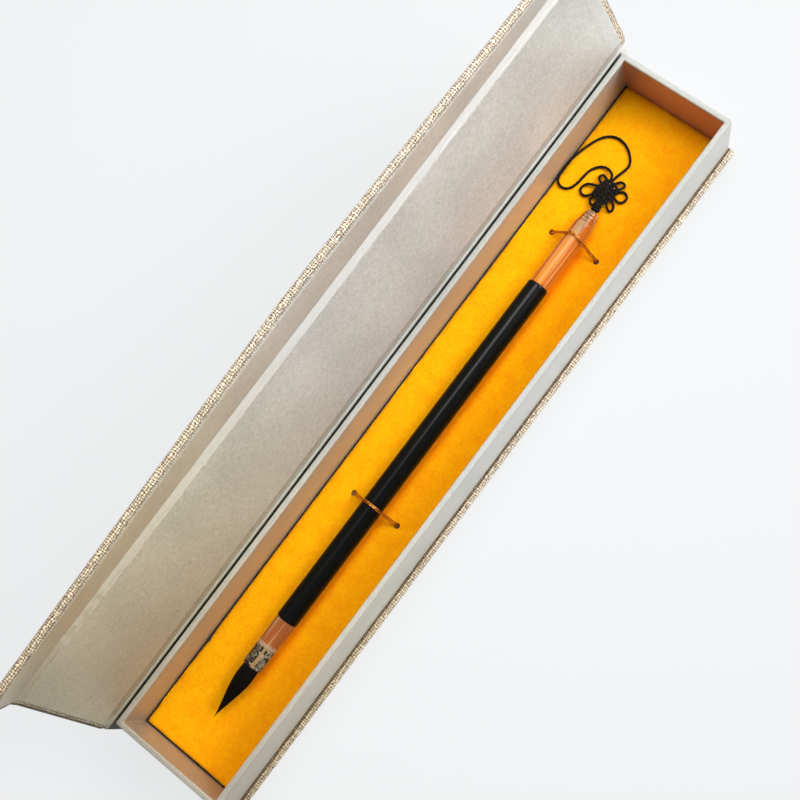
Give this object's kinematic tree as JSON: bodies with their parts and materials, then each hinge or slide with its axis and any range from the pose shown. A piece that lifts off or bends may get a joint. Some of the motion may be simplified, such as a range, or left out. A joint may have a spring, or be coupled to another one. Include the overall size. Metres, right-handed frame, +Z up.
{
  "type": "calligraphy brush box",
  "caption": "Long cloth-covered presentation box with a hinged lid and front flap; a calligraphy brush lies on its padded tray under two thread ties.",
  "frame": {"origin": "middle of the tray's footprint, on the underside of the base", "axes": "+X along the box towards the brush's hanging loop, +Y towards the spine that carries the lid, +Z up"},
  "size_m": [0.3376, 0.0749, 0.116],
  "materials": {
    "linen": "woven burlap-like book cloth, beige and cream",
    "grey_board": "raw grey board",
    "pearl_lining": "pearl paper with a silver grey-green sheen",
    "pearl_wrap": "pearl paper, pale grey, satin",
    "foam": "soft foam sheet",
    "flock": "orange-yellow flock",
    "copper_thread": "shiny copper-brown thread",
    "black_lacquer": "polished black",
    "clear_resin": "clear cast resin, polished",
    "hair_glue": "marbled grey-brown glue",
    "black_hair": "black animal hair",
    "black_cord": "black braided cord",
    "magnet": "nickel-plated magnet"
  },
  "bodies": {
    "root": {"base_board": "grey_board", "base_linen": "linen", "tray_floor": "grey_board", "tray_front_wall": "grey_board", "tray_back_wall": "grey_board", "tray_left_wall": "grey_board", "tray_right_wall": "grey_board", "front_wall_magnets": "magnet", "tray_wrap": "pearl_wrap", "tray_lining": "pearl_wrap", "pad_foam": "foam", "pad_flock": "flock", "lower_tie": "copper_thread", "upper_tie": "copper_thread", "spine_board": "grey_board", "spine_linen": "linen", "spine_lining": "pearl_lining", "spine_foot_linen": "linen", "lid_hinge_linen": "linen", "lid_hinge_lining": "pearl_lining"},
    "lid": {"lid_board": "grey_board", "lid_linen": "linen", "lid_lining": "pearl_lining", "flap_hinge_linen": "linen", "flap_hinge_lining": "pearl_lining"},
    "flap": {"flap_board": "grey_board", "flap_linen": "linen", "flap_lining": "pearl_lining", "flap_magnets": "magnet"},
    "brush": {"brush_handle": "black_lacquer", "ferrule": "clear_resin", "hair_root": "hair_glue", "hair_tuft": "black_hair", "top_cap": "clear_resin", "neck_cord": "black_cord", "flower_knot": "black_cord", "hanging_loop": "black_cord"}
  },
  "joints": [
    {"name": "lid_hinge", "type": "hinge", "parent": "root", "child": "lid", "pos_m": [0, 0.02898, 0.03377], "axis": [-1, 0, 0], "range_deg": [-108, 72], "deforming": ["lid_hinge_linen", "lid_hinge_lining"]},
    {"name": "flap_hinge", "type": "hinge", "parent": "lid", "child": "flap", "pos_m": [0, 0.04428, 0.08784], "axis": [-1, 0, 0], "range_deg": [-58.8, 121.2], "deforming": ["flap_hinge_linen", "flap_hinge_lining"]},
    {"name": "brush_slide", "type": "slide", "parent": "root", "child": "brush", "axis": [1, 0, 0], "range_m": [-0.012, 0.018]}
  ]
}
